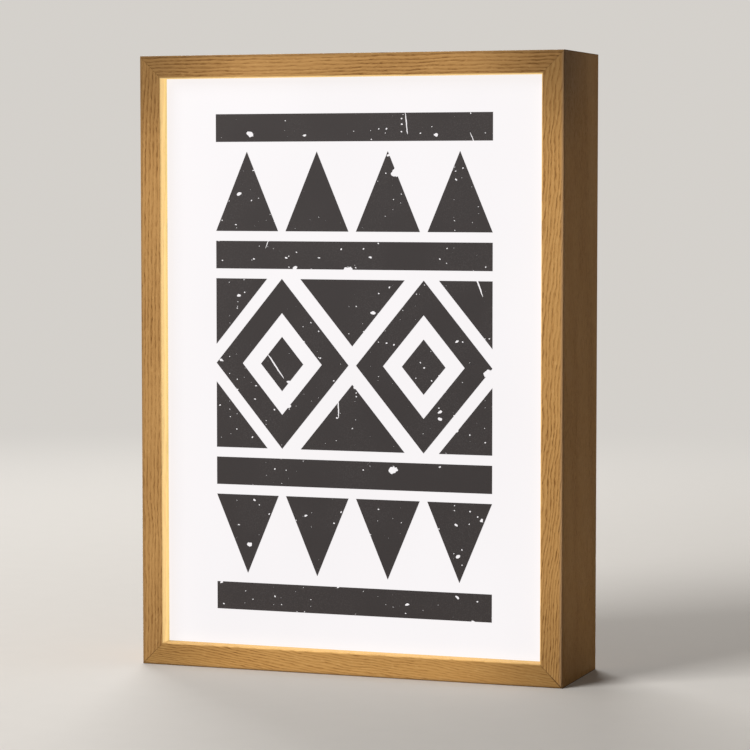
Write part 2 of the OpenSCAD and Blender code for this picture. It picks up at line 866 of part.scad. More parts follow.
// Each half of the rocker face slopes up to its end.
module switch_rocker() {
    half = rocker_l / 2;
    rise = half * tan(rocker_tilt);
    shoulder = 0.5;
    shoulder_in = 0.3;
    shoulder_half = half - shoulder_in;
    foot = 3;
    foot_half = foot / 2;
    color("#1c1d1f") from_front() translate([pivot_x - box_w / 2, bay_mid, switch_z])
        rotate([0, rocker_tilt, 0]) union() {
            sheet(-rocker_half, 2 * rocker_half) polygon([
                [-rocker_reach, 0], [-rocker_reach - rise, half], [shoulder, shoulder_half],
                [foot, foot_half], [foot, -foot_half], [shoulder, -shoulder_half],
                [-rocker_reach - rise, -half]]);
            rod(0, -rocker_half - pivot_l, 0, pivot_r, 2 * (rocker_half + pivot_l));
        }
}

module switch_terminals() {
    color("#c8b37a") from_front()
        for (s = [-1, 1])
            block(switch_d + blade_l / 2 - box_w / 2, bay_mid - blade_t / 2, switch_z + s * blade_rise,
                  blade_l, blade_t, blade_w);
}

// Builds along the axis of the power socket, from the rail surface inwards.
module at_socket() {
    from_front() translate([-box_w / 2, bay_mid, socket_z]) rotate([0, 90, 0]) children();
}

module power_socket() {
    color("#232427") at_socket() difference() {
        union() {
            translate([0, 0, -socket_flange_t])
                cylinder(r1 = socket_flange_r - socket_edge, r2 = socket_flange_r, h = socket_edge);
            translate([0, 0, socket_edge - socket_flange_t])
                cylinder(r = socket_flange_r, h = socket_flange_t - socket_edge);
            cylinder(r = socket_r, h = thread_l);
            cylinder(r = socket_r - socket_edge, h = socket_l);
        }
        translate([0, 0, -socket_flange_t - eps])
            cylinder(r = socket_bore_r, h = socket_bore_d + socket_flange_t + eps);
    }
}

module socket_pin() {
    color("#d9c27a") at_socket() {
        translate([0, 0, socket_edge]) cylinder(r = socket_pin_r, h = socket_bore_d - socket_edge);
        cylinder(r1 = socket_pin_r - socket_edge, r2 = socket_pin_r, h = socket_edge);
    }
}

module socket_terminals() {
    color("#c8b37a") at_socket()
        for (s = [-1, 1])
            translate([s * lug_off - lug_w / 2, -lug_t / 2, socket_l]) cube([lug_w, lug_t, lug_l]);
}

module socket_nut() {
    color("#b9bcc0") at_socket() {
        difference() {
            translate([0, 0, web_t]) cylinder(r = washer_r, h = washer_t);
            cylinder(r = socket_r + washer_play, h = thread_l);
        }
        translate([0, 0, web_t + washer_t + snug]) difference() {
            cylinder(r = nut_r, h = nut_t, $fn = 6);
            translate([0, 0, -eps]) cylinder(r = socket_r + snug, h = thread_l);
        }
    }
}

module at_posts() {
    x = driver_w / 2 - post_side;
    z = driver_h / 2 - post_end;
    for (sx = [-1, 1], sz = [-1, 1])
        translate([driver_mid + sx * x, 0, driver_z + sz * z]) children();
}

module driver_board() {
    color("#2f6b3c") from_front() difference() {
        block(driver_mid, driver_v, driver_z, driver_w, driver_t, driver_h);
        at_posts() rod(0, driver_v - eps, 0, post_hole_r, driver_t + 2 * eps);
    }
}

module driver_posts() {
    color("#e6e4dc") from_front() at_posts() {
        rod(0, bay_v, 0, post_foot_r, post_foot_t);
        rod(0, bay_v, 0, post_r, post_h);
        rod(0, bay_v, 0, post_neck_r, post_h + driver_t + root);
        taper(0, pad_v + snug, 0, post_cap_r, post_neck_r - root, post_cap_t);
    }
}

module driver_coil() {
    color("#4a3a30") from_front() {
        rod(driver_mid, pad_v, driver_z - coil_drop, coil_r, coil_t);
        rod(driver_mid, pad_v, driver_z - coil_drop, coil_core_r, coil_l);
        rod(driver_mid, pad_v + coil_l - coil_t, driver_z - coil_drop, coil_r, coil_t);
    }
}

module driver_capacitors() {
    color("#39506b") from_front()
        for (s = [-1, 1]) translate([driver_mid + s * can_off, pad_v, driver_z + can_rise]) {
            rod(0, 0, 0, can_r, can_l);
            taper(0, can_l, 0, can_r, can_r - can_edge, can_edge);
        }
}

module driver_chips() {
    color("#1d1e20") from_front()
        for (c = chips) block(driver_mid + c[0], pad_v, driver_z + c[1], c[2], c[3], c[4]);
}

module lead(route) {
    tube(smooth(route, lead_steps), lead_d, lead_sides);
}

// Short links join the lamp strips near their upper ends.
module strip_links(z) {
    for (i = [0:strip_count - 2]) {
        a = strip_x(i) + 3;
        b = strip_x(i + 1) - 3;
        lead([[a, lamp_v, z], [a, lamp_v - 1.7, z], [a + 3, lamp_v - 3, z],
            [b - 3, lamp_v - 3, z], [b, lamp_v - 1.7, z], [b, lamp_v, z]]);
    }
}

// From a driver pad through the grommet to the first strip.
module feed_lead(x0, side, z1) {
    gx = grommet_x + side * 0.9;
    x1 = strip_x(0) - 2.5;
    lead([[x0, pad_v, pad_hi], [x0, pad_v + 2.4, pad_hi], [x0 + 2, pad_v + 3.6, pad_hi + 5],
        [(x0 + gx) / 2, pad_v + 2.5, pad_hi + 16], [gx, bay_v + 5, grommet_z - 1.5],
        [gx, bay_v + 2, grommet_z], [gx, board_v - 1.5, grommet_z],
        [gx - 1.5, board_v - 3.6, grommet_z + 3 + 2 * side],
        [(gx + x1) / 2, board_v - 4.6, (grommet_z + z1) / 2 + 3],
        [x1 + 3.5, board_v - 4, z1], [x1, lamp_v - 2, z1], [x1, lamp_v, z1]]);
}

// From a source below to a driver pad, along hand-picked points.
module lead_to_pad(route, k) {
    x = pad_x(k);
    lead(concat(route, [[x, pad_v + 3, pad_lo - 7], [x, pad_v + 3.4, pad_lo - 2.2],
        [x, pad_v + 2, pad_lo], [x, pad_v, pad_lo]]));
}

module red_leads() {
    tab = [cell_x(0), cell_v, tab_end];
    low = [blade_end, bay_mid, switch_z - blade_rise];
    high = [blade_end, bay_mid, switch_z + blade_rise];
    plus = [socket_end, bay_mid, socket_z + lug_off];
    color("#b3261e") from_front() {
        lead([tab, tab + [0, 0, 2.5], tab + [-6, 2, 9], tab + [-36, 3, 2], tab + [-62, 3, -24],
            low + [16, 2, 6], low + [6, 0.3, 0.5], low + [2.4, 0, 0], low]);
        lead_to_pad([high, high + [2.6, 0, 0], high + [6, 0.6, 8], high + [11, 2, 40],
            high + [17, 2, 80]], 0);
        lead_to_pad([plus, plus + [2.6, 0, 0], plus + [10, -3.6, 8], plus + [21, -4.4, 47],
            plus + [27, -3.4, 97]], 1);
        feed_lead(pad_x(1), -1, strip_top - 16);
        strip_links(strip_top - 8);
    }
}

module black_leads() {
    tab = [cell_x(3), cell_v, tab_end];
    minus = [socket_end, bay_mid, socket_z - lug_off];
    color("#222326") from_front() {
        lead_to_pad([tab, tab + [0, 0, 2.5], tab + [-5, 1.2, 9], tab + [-44, 1.4, 24],
            tab + [-84, 1.4, 46]], 3);
        lead_to_pad([minus, minus + [2.6, 0, 0], minus + [14, -3.6, 9], minus + [27, -4.4, 50],
            minus + [33, -3.4, 100]], 2);
        feed_lead(pad_x(2), 1, strip_top - 12);
        strip_links(strip_top - 4);
    }
}

// The way of a wall screw head: a round entry and a slot above it.
module keyhole_way(x, r_entry, r_slot, v, t) {
    rod(x, v, entry_z, r_entry, t);
    rod(x, v, entry_z + slot_l, r_slot, t);
    block(x, v, entry_z + slot_l / 2, 2 * r_slot, t, slot_l);
}

module at_plate_screws() {
    for (sx = [-1, 1], sz = [-1, 1])
        translate([sx * hang_pitch / 2, 0, hang_z + sz * plate_screw_z]) children();
}

module back_panel() {
    grip = 2 * (ledge_w - back_play);
    color("#8c6f4d") from_front() difference() {
        block(0, back_v, mid_z, in_w + grip, back_t, in_h + grip);
        at_back_screws() {
            rod(0, back_v - eps, 0, screw_r + hole_play, back_t + 2 * eps);
            taper(0, out_v - sunk_t, 0, screw_r + sunk_play, head_r + sunk_play, sunk_t);
        }
        for (s = [-1, 1])
            keyhole_way(s * hang_pitch / 2, head_way_r, head_way_r, back_v - eps, back_t + 2 * eps);
        at_plate_screws() rod(0, back_v - eps, 0, plate_screw_r + hole_play, back_t + 2 * eps);
        at_tub_screws() rod(0, back_v - eps, 0, tub_screw_r + pilot_play, back_t - tub_skin + eps);
        block(tub_x, back_v - eps, tub_z,
              tub_out_w + 2 * door_gap, back_t + 2 * eps, tub_out_h + 2 * door_gap);
        for (s = [-1, 1])
            block(tub_x + s * (ear_x + ear_w / 2), back_v - eps, door_axis_z,
                  ear_w + 2 * ear_play, back_t + 2 * eps, ear_h + 2 * ear_play);
    }
}

module panel_screws() {
    color("#a7a9ab") from_front() at_back_screws() difference() {
        union() {
            taper(0, out_v - sunk_t, 0, screw_r, head_r, sunk_t);
            rod(0, out_v - screw_l, 0, screw_r, screw_l - sunk_t + root);
        }
        cross_recess(out_v, head_r);
    }
}

module hanging_batten() {
    color("#cdb48a") from_front() difference() {
        block(0, back_v - hang_d, hang_z, hang_w, hang_d, hang_h);
        for (s = [-1, 1])
            keyhole_way(s * hang_pitch / 2, head_way_r, head_way_r, back_v - hang_d + hang_skin, hang_d);
        at_plate_screws() rod(0, out_v + plate_s - plate_screw_l - tip_play, 0,
                              plate_screw_r + pilot_play, plate_screw_l);
    }
}

module keyhole_plates() {
    color("#c3c6c9") from_front() difference() {
        for (s = [-1, 1]) {
            block(s * hang_pitch / 2, out_v, hang_z, plate_w, plate_s, plate_core);
            for (k = [-1, 1])
                rod(s * hang_pitch / 2, out_v, hang_z + k * plate_core / 2, plate_w / 2, plate_s);
        }
        for (s = [-1, 1])
            keyhole_way(s * hang_pitch / 2, entry_r, slot_r, out_v - eps, plate_s + 2 * eps);
        at_plate_screws()
            taper(0, out_v, 0, plate_screw_r + sunk_play, plate_screw_r + plate_head + sunk_play, plate_s);
    }
}

module keyhole_screws() {
    color("#a7a9ab") from_front() at_plate_screws() difference() {
        union() {
            taper(0, out_v, 0, plate_screw_r, plate_screw_r + plate_head, plate_s);
            rod(0, out_v + plate_s - plate_screw_l, 0, plate_screw_r, plate_screw_l - plate_s + root);
        }
        cross_recess(out_v + plate_s, plate_screw_r + plate_head);
    }
}

top_rail();
bottom_rail();
left_rail();
right_rail();
mitre_keys();
face_panel();
print_film();
top_batten();
bottom_batten();
left_batten();
right_batten();
light_board();
board_screws();
lamp_strips();
lamps();
cable_grommet();
battery_tub();
tub_screws();
battery_cells();
contact_springs();
contact_plates();
battery_door();
switch_housing();
switch_rocker();
switch_terminals();
power_socket();
socket_pin();
socket_terminals();
socket_nut();
driver_board();
driver_posts();
driver_coil();
driver_capacitors();
driver_chips();
red_leads();
black_leads();
back_panel();
panel_screws();
hanging_batten();
keyhole_plates();
keyhole_screws();
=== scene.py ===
import json
import math
import bpy
from mathutils import Euler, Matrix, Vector


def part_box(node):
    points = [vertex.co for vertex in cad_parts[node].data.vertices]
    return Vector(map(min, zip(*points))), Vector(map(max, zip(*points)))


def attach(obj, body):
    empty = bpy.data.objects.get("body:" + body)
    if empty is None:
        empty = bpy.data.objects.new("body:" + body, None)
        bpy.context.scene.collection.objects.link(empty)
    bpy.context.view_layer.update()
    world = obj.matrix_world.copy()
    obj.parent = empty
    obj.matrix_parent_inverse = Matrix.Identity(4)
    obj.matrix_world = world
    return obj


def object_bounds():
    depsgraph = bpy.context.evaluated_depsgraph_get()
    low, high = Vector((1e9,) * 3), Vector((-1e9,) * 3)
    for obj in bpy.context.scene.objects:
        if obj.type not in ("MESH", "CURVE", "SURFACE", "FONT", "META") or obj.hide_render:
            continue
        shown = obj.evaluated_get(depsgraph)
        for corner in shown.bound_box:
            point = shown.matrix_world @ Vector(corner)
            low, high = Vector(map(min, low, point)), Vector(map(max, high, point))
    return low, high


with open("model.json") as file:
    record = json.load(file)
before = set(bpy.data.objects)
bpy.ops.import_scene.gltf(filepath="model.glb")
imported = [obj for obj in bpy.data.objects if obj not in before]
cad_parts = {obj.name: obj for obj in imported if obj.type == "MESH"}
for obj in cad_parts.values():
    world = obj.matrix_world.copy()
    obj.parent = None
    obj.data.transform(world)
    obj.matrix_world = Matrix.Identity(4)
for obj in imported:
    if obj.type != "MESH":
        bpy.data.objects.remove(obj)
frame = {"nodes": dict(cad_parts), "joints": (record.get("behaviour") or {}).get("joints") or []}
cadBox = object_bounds()
nodes = frame["nodes"]
scene = bpy.context.scene
scene.view_settings.view_transform = "Standard"
mmPerMetre = 1000
print("frame loaded with", len(nodes), "nodes")

# camera, from the corners of the box in the photograph
viewpoint = {
    "place": (0.5011, -1.3880, 0.2471),  # metres
    "pitch": -3.79,  # degrees
    "roll": 0.01,
    "yaw": 19.71,
    "lens": 139.63,  # mm
    "sensor": 36,  # mm wide
    "nearest": 0.01,  # metres
}
bpy.ops.object.select_all(action="DESELECT")
bpy.ops.object.camera_add(
    location=viewpoint["place"],
    rotation=(
        math.radians(90 + viewpoint["pitch"]),
        math.radians(viewpoint["roll"]),
        math.radians(viewpoint["yaw"]),
    ),
)
eye = bpy.context.object
eye.name = "photoCamera"
eye.data.lens = viewpoint["lens"]
eye.data.sensor_width = viewpoint["sensor"]
eye.data.clip_start = viewpoint["nearest"]
scene.camera = eye
print("camera set")


def grey(v):
    return (v, v, v)


class Finish:
    # one surface finish, built up from nodes on Object coordinates
    def __init__(self, name, roughness=0.5, metallic=0.0, specular=0.5):
        self.sheet = bpy.data.materials.new(name)
        self.sheet.use_nodes = True
        self.tree = self.sheet.node_tree
        self.shader = self.tree.nodes["Principled BSDF"]
        self.give("Roughness", roughness)
        self.give("Metallic", metallic)
        self.give("Specular IOR Level", specular)
        place = self.tree.nodes.new("ShaderNodeTexCoord")
        self.metres = place.outputs["Object"]
        self.mm = self.turned(self.metres, grey(mmPerMetre))

    def feed(self, socket, value):
        if isinstance(value, bpy.types.NodeSocket):
            self.tree.links.new(value, socket)
        else:
            socket.default_value = value

    def add(self, kind, values, settings=None, out=0):
        node = self.tree.nodes.new(kind)
        for key, value in (settings or {}).items():
            setattr(node, key, value)
        for key, value in values.items():
            self.feed(node.inputs[key], value)
        return node.outputs[out]

    def give(self, name, value):
        self.feed(self.shader.inputs[name], value)

    # scale, turn in degrees, then shift
    def turned(self, source, scale, turn=(0, 0, 0), shift=(0, 0, 0)):
        angles = tuple(math.radians(a) for a in turn)
        return self.add(
            "ShaderNodeMapping",
            {"Vector": source, "Scale": scale, "Rotation": angles, "Location": shift},
        )

    def noise(self, vector, detail=2.0, rough=0.5, out=0):
        values = {"Vector": vector, "Scale": 1.0, "Detail": detail, "Roughness": rough}
        return self.add("ShaderNodeTexNoise", values, out=out)

    # noise with that many waves to the mm along each axis
    def mottle(self, waves, detail=2.0, rough=0.5, out=0):
        return self.noise(self.turned(self.mm, waves), detail, rough, out)

    def cells(self, vector, out="Distance", size="3D"):
        values = {"Vector": vector, "Scale": 1.0}
        return self.add("ShaderNodeTexVoronoi", values, {"voronoi_dimensions": size}, out)

    def calc(self, how, a, b=0.0, c=0.0):
        return self.add("ShaderNodeMath", {0: a, 1: b, 2: c}, {"operation": how})

    def vector(self, how, a, b=(0, 0, 0), c=(0, 0, 0), out=0):
        return self.add("ShaderNodeVectorMath", {0: a, 1: b, 2: c}, {"operation": how}, out)

    def length(self, a):
        return self.vector("LENGTH", a, out="Value")

    def axis(self, a, direction):
        return self.vector("DOT_PRODUCT", a, direction, out="Value")

    # a value carried smoothly from one range to another
    def span(self, value, low, high, first=0.0, last=1.0):
        values = {
            "Value": value, "From Min": low, "From Max": high, "To Min": first, "To Max": last,
        }
        return self.add("ShaderNodeMapRange", values, {"interpolation_type": "SMOOTHSTEP"})

    def ramp(self, value, stops):
        node = self.tree.nodes.new("ShaderNodeValToRGB")
        band = node.color_ramp
        while len(band.elements) < len(stops):
            band.elements.new(0.5)
        for element, (place, colour) in zip(band.elements, stops):
            element.position = place
            element.color = (*colour, 1.0)
        self.feed(node.inputs[0], value)
        return node.outputs[0]

    # two colours at the ends of a band of values
    def between(self, value, band, colours):
        return self.ramp(value, list(zip(band, colours)))

    def blend(self, share, a, b, how="MIX"):
        colours = [(*v, 1.0) if isinstance(v, tuple) else v for v in (a, b)]
        values = {0: share, 6: colours[0], 7: colours[1]}
        return self.add("ShaderNodeMix", values, {"data_type": "RGBA", "blend_type": how}, 2)

    # roughness that follows a noise, most of which lies in the band
    def roughen(self, noise, rough, band=(0.3, 0.7)):
        self.give("Roughness", self.span(noise, *band, *rough))

    def bump(self, height, depth, strength=1.0):
        values = {"Height": height, "Distance": depth, "Strength": strength}
        self.give("Normal", self.add("ShaderNodeBump", values))

    # light of its own, which shows but isn't sampled as a lamp; on the oak lips it is painted light
    def shine(self, colour):
        self.give("Emission Color", colour)
        self.give("Emission Strength", 1.0)
        self.sheet.cycles.emission_sampling = "NONE"


def dress(sheet, *names):
    for name in names:
        for slot in nodes[name].material_slots:
            slot.material = sheet


# oak rails: growth rings about a pith line that runs along each rail
oak = {
    "tones": [
        (0.00, (0.165, 0.070, 0.018)),
        (0.25, (0.325, 0.160, 0.048)),
        (0.50, (0.495, 0.268, 0.091)),
        (0.75, (0.600, 0.345, 0.125)),
        (1.00, (0.700, 0.435, 0.180)),
    ],
    "baseTone": 0.22,
    # early wood through one ring
    "ring": [(0.00, 1.0), (0.22, 0.85), (0.50, 0.20), (0.80, 0.0), (0.93, 0.30), (1.00, 1.0)],
    # waves to the mm across, through and along the grain, the band where marks come in,
    # and what they add
    "streaks": {
        "sway": {"waves": (0.03, 0.03, 0.012)},
        "waver": {"waves": (0.30, 0.30, 0.085), "detail": 2.5, "share": 1.7},
        "figure": {"waves": (0.05, 0.05, 0.014), "detail": 1.0, "band": (0.34, 0.62, 0.72, 1.10)},
        "dashes": {"waves": (1.25, 1.25, 0.21), "detail": 1.5, "band": (0.48, 0.66), "share": 0.60},
        "pricks": {"waves": (3.4, 3.4, 0.38), "detail": 1.0, "band": (0.54, 0.68), "share": 0.55},
        "fibre": {"waves": (5.0, 5.0, 0.07), "detail": 3.0, "rough": 0.6, "share": 0.36},
        "cloud": {"waves": (0.07, 0.07, 0.016), "share": 0.36},
        "flecks": {"waves": (0.5, 1.6, 0.22), "band": (0.60, 0.72), "share": 0.12},
    },
    "latePores": 0.20,  # share of the pores that late wood keeps
    "rough": (0.70, 0.52),
    "roughTones": (0.1, 0.9),
    "relief": {"pores": -1.0, "fibre": 0.35, "early": -0.25},
    "reliefDepth": 0.00018,  # metres
    "reliefStrength": 0.6,
    "arrisShading": (0.5, 2.0),  # mm of outer edge that carries the painted shade and highlight
    "seam": (0.085, 0.040, 0.014),
    "seamWidth": 0.5,  # mm
    "seamFade": (3.0, 9.0, 1.0, 0.35),  # mm in from the edge, and the strength there
    "shadeReach": 62.0,  # mm over which painted shade darkens the rails toward the corners
    # painted light: glow colours given to the inner lips as emission
    "glow": (0.90, 0.64, 0.27),
    "glowByFace": (0.70, 0.54, 0.20),
    "glowTurns": (0.55, 0.80),  # shares of the lip where one glow gives way to the other
    "glowAtFront": 0.80,
    "glowSkin": (0.05, 0.75),  # mm in from the lip
    "glowPast": 0.3,  # mm behind the front of the face
    "glowOnTone": (0.1, 0.8, 0.90, 1.04),  # dark and pale grain, and the glow on them
}
# turn in degrees brings the length to Z, pith is a place in mm, pitch and sway are mm,
# rings and pores say how dark these are, seams how dark the mitres are at the two ends, and
# the painted corner shade how much painted shade darkens the front at the two ends
oakRails = {
    "top_rail": {
        "along": (1, 0, 0), "outward": (0, 0, 1), "turn": (0.5, 90.5, 0.0),
        "pith": (0, -14, 252), "pitch": 1.75, "sway": 4.0, "seed": (3.1, 0, 7.3),
        "lift": 0.0, "rings": 0.21, "pores": 0.30, "glow": 1.0,
        "arrisShading": (0.210, 0.115, 0.040), "arrisShadingShare": 0.45, "seams": (0.08, 0.20),
        "corners": (0.43, 0.40), "tint": (1.0, 1.0, 1.0),
    },
    "bottom_rail": {
        "along": (1, 0, 0), "outward": (0, 0, -1), "turn": (-1.0, 83.5, 0.0),
        "pith": (0, -75, 62), "pitch": 1.0, "sway": 8.0, "seed": (8.7, 2.0, 1.9),
        "lift": 0.24, "rings": 0.28, "pores": 0.33, "glow": 0.46,
        "arrisShading": (0.330, 0.195, 0.085), "arrisShadingShare": 0.35, "seams": (0.55, 0.95),
        "corners": (0.34, 0.42), "tint": (1.03, 0.97, 0.83),
    },
    "left_rail": {
        "along": (0, 0, 1), "outward": (-1, 0, 0), "turn": (0.6, -0.6, 0.0),
        "pith": (-55, -12, 0), "pitch": 1.8, "sway": 7.0, "seed": (0.4, 5.5, 2.2),
        "lift": 0.0, "rings": 0.15, "pores": 0.29, "glow": 1.0,
        "arrisShading": (0.260, 0.150, 0.060), "arrisShadingShare": 0.55, "seams": (0.55, 0.08),
        "corners": (0.12, 0.38), "tint": (1.0, 1.0, 1.0),
    },
    "right_rail": {
        "along": (0, 0, 1), "outward": (1, 0, 0), "turn": (-0.8, -6.0, 0.0),
        "pith": (50, -80, 0), "pitch": 1.0, "sway": 7.0, "seed": (6.6, 1.2, 9.4),
        "lift": 0.20, "rings": 0.27, "pores": 0.38, "glow": 0.9,
        "arrisShading": (0.420, 0.270, 0.150), "arrisShadingShare": 0.65, "seams": (0.95, 0.20),
        "corners": (0.22, 0.50), "tint": (1.0, 0.965, 0.90),
    },
}


def oakFinish(name, rail):
    wood = Finish("oak_" + name, specular=0.06)
    low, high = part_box(name)
    front = low.y * mmPerMetre
    outward = Vector(rail["outward"])
    edges = sorted((low.dot(outward) * mmPerMetre, high.dot(outward) * mmPerMetre))
    run = Vector(rail["along"])
    ends = (low.dot(run) * mmPerMetre, high.dot(run) * mmPerMetre)

    turn = Euler([math.radians(a) for a in rail["turn"]])
    shift = -(turn.to_matrix() @ Vector(rail["pith"]))
    grain = wood.turned(wood.mm, (1, 1, 1), rail["turn"], shift)
    streaks = oak["streaks"]

    def streak(kind, seed=rail["seed"], out=0):
        look = streaks[kind]
        place = wood.turned(grain, look["waves"], shift=seed)
        noise = wood.noise(place, look.get("detail", 2.0), look.get("rough", 0.5), out)
        return wood.span(noise, *look["band"]) if "band" in look else noise

    # rings, which sway slowly and waver along the rail
    sway = (rail["sway"], rail["sway"], 0)
    bent = wood.vector("MULTIPLY_ADD", streak("sway", out=1), sway, grain)
    radius = wood.length(wood.vector("MULTIPLY", bent, (1, 1, 0)))
    reach = wood.calc("MULTIPLY_ADD", streak("waver"), streaks["waver"]["share"], radius)
    ring = wood.calc("FRACT", wood.calc("DIVIDE", reach, rail["pitch"]))
    early = wood.ramp(ring, [(place, grey(level)) for place, level in oak["ring"]])
    early = wood.calc("MULTIPLY", early, streak("figure", rail["seed"][::-1]))

    # open pores lie in short dashes, mostly in the early wood
    porous = wood.calc("MULTIPLY_ADD", early, 1.0 - oak["latePores"], oak["latePores"])
    coarse = wood.calc("MULTIPLY", streak("dashes"), porous)
    fine = wood.calc("MULTIPLY", streak("pricks"), porous)
    pores = wood.calc("MULTIPLY", coarse, streaks["dashes"]["share"])
    pores = wood.calc("MULTIPLY_ADD", fine, streaks["pricks"]["share"], pores)
    fibre = streak("fibre")

    tone = wood.calc("MULTIPLY_ADD", early, -rail["rings"], oak["baseTone"] + rail["lift"])
    tone = wood.calc("MULTIPLY_ADD", pores, -rail["pores"], tone)
    tone = wood.calc("MULTIPLY_ADD", fibre, streaks["fibre"]["share"], tone)
    for kind in ("cloud", "flecks"):
        tone = wood.calc("MULTIPLY_ADD", streak(kind), streaks[kind]["share"], tone)
    colour = wood.blend(1.0, wood.ramp(tone, oak["tones"]), rail["tint"], "MULTIPLY")

    # painted shade along the outer front edges, paler on the right rail as a painted highlight
    across = wood.axis(wood.mm, rail["outward"])
    depth = wood.calc("SUBTRACT", wood.axis(wood.mm, (0, 1, 0)), front)
    outer = wood.calc("SUBTRACT", edges[1], across)
    inner = wood.calc("SUBTRACT", across, edges[0])
    arrisShading = wood.span(wood.calc("ADD", outer, depth), *oak["arrisShading"], rail["arrisShadingShare"], 0.0)
    colour = wood.blend(arrisShading, colour, rail["arrisShading"])

    # painted shade that darkens the front toward its corners, and a dark line where mitres meet
    place = wood.axis(wood.mm, rail["along"])
    fromFirst = wood.calc("SUBTRACT", place, ends[0])
    fromLast = wood.calc("SUBTRACT", ends[1], place)
    toEnd = wood.calc("MINIMUM", fromFirst, fromLast)
    depthSquared = wood.calc("MULTIPLY", depth, depth)
    fromCorner = wood.calc("SQRT", wood.calc("MULTIPLY_ADD", toEnd, toEnd, depthSquared))
    cornerDarkening = wood.span(fromCorner, 0.0, oak["shadeReach"], 1.0, 0.0)
    cornerDarkening = wood.calc("MULTIPLY", cornerDarkening, wood.span(place, *ends, *rail["corners"]))
    colour = wood.blend(cornerDarkening, colour, grey(0.0))
    fromMitre = wood.calc("ABSOLUTE", wood.calc("SUBTRACT", toEnd, outer))
    seam = wood.span(fromMitre, 0.0, oak["seamWidth"], 1.0, 0.0)
    seam = wood.calc("MULTIPLY", seam, wood.span(place, *ends, *rail["seams"]))
    seam = wood.calc("MULTIPLY", seam, wood.span(outer, *oak["seamFade"]))
    wood.give("Base Color", wood.blend(seam, colour, oak["seam"]))
    wood.roughen(tone, oak["rough"], oak["roughTones"])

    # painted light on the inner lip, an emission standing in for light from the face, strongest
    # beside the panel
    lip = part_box("face_panel")[0].y * mmPerMetre - front
    lit = wood.span(inner, *oak["glowSkin"], rail["glow"], 0.0)
    lit = wood.calc("MULTIPLY", lit, wood.span(depth, 0.0, lip, oak["glowAtFront"], 1.0))
    lit = wood.calc("MULTIPLY", lit, wood.calc("LESS_THAN", depth, lip + oak["glowPast"]))
    lit = wood.calc("MULTIPLY", lit, wood.span(tone, *oak["glowOnTone"]))
    nearFace = wood.span(depth, *(lip * share for share in oak["glowTurns"]))
    warmth = wood.blend(nearFace, oak["glow"], oak["glowByFace"])
    wood.shine(wood.blend(lit, grey(0.0), warmth))

    relief = oak["relief"]
    height = wood.calc("MULTIPLY", fibre, relief["fibre"])
    height = wood.calc("MULTIPLY_ADD", pores, relief["pores"], height)
    height = wood.calc("MULTIPLY_ADD", early, relief["early"], height)
    wood.bump(height, oak["reliefDepth"], oak["reliefStrength"])
    return wood.sheet


for name, rail in oakRails.items():
    dress(oakFinish(name, rail), name)
print("oak rails finished")

# opal face, evenly lit from behind
face = {
    "body": (0.090, 0.088, 0.088),
    "light": (0.857, 0.831, 0.845),
    "warmEdge": (0.887, 0.857, 0.864),
    "cover": 4.0,  # mm under the lip
    "edge": 8.0,  # mm of warmer, brighter light beside it, partly painted light against the lips' shade
    "dimmest": 0.975,
    "patches": (0.02, 0.02, 0.01),  # waves to the mm
    "patchBand": (0.3, 0.7),
    "grit": 3.0,
    "gritTone": 1.04,
    "gritDepth": 0.00002,  # metres
    "gritStrength": 0.3,
    "rough": (0.28, 0.38),
}


def opalFinish():
    opal = Finish("opal_face", specular=0.3)
    low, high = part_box("face_panel")
    middle = (low + high) * mmPerMetre / 2
    half = (high - low) * mmPerMetre / 2
    off = opal.vector("ABSOLUTE", opal.turned(opal.mm, (1, 1, 1), shift=-middle))
    side = opal.calc("SUBTRACT", half.x, opal.axis(off, (1, 0, 0)))
    end = opal.calc("SUBTRACT", half.z, opal.axis(off, (0, 0, 1)))
    # the warmer tint beside the lips is the panel's own light; its extra brightness is painted
    # light that makes up for the shade the lips cast on it
    inset = opal.calc("MINIMUM", side, end)
    rim = opal.span(inset, face["cover"], face["cover"] + face["edge"], 1.0, 0.0)
    glow = opal.blend(rim, face["light"], face["warmEdge"])
    patches = opal.mottle(face["patches"], detail=1.0)
    shades = (grey(face["dimmest"]), grey(1.0))
    shade = opal.between(patches, face["patchBand"], shades)
    opal.give("Emission Color", opal.blend(1.0, glow, shade, "MULTIPLY"))
    opal.give("Emission Strength", 1.0)
    grit = opal.mottle(grey(face["grit"]), detail=3.0)
    paler = tuple(v * face["gritTone"] for v in face["body"])
    opal.give("Base Color", opal.blend(grit, face["body"], paler))
    opal.roughen(grit, face["rough"])
    opal.bump(grit, face["gritDepth"], face["gritStrength"])
    return opal.sheet


dress(opalFinish(), "face_panel")

# dark print, chipped and specked so that the lit face shows through
printInk = {
    "ink": (0.047, 0.041, 0.041),
    "faded": (0.064, 0.057, 0.057),
    "wear": 0.035,  # waves to the mm
    "wearFrom": (4.0, 2.0, 0),
    "wearBand": (0.34, 0.64),
    "stipple": 1.8,
    "stippleBand": (0.50, 0.62),
    "stippleHeight": 0.2,
    "raggedness": 0.8,
    "rough": (0.50, 0.64),
    "depth": 0.00006,  # metres
    "strength": 0.5,
    "chipSteps": (3.7, 1.3),  # cells between the grids of one kind and the next
    # mm apart, half width in mm, length for width, share of places that have one,
    # ragged edge in mm, tilt in degrees, and whether they keep to worn places
    "chips": {
        "flakes": {
            "apart": 25, "half": 2.0, "long": 1.5, "share": 0.34,
            "ragged": 2.6, "tilt": (-35, 25), "worn": False,
        },
        "specks": {
            "apart": 9, "half": 0.80, "long": 1.7, "share": 0.40,
            "ragged": 0.9, "tilt": (-40, 40), "worn": True,
        },
        "dots": {
            "apart": 4, "half": 0.36, "long": 1.4, "share": 0.32,
            "ragged": 0.3, "tilt": (-60, 60), "worn": True,
        },
        "cracks": {
            "apart": 36, "half": 0.40, "long": 20, "share": 0.28,
            "ragged": 0.6, "tilt": (40, 115), "worn": False,
        },
    },
}


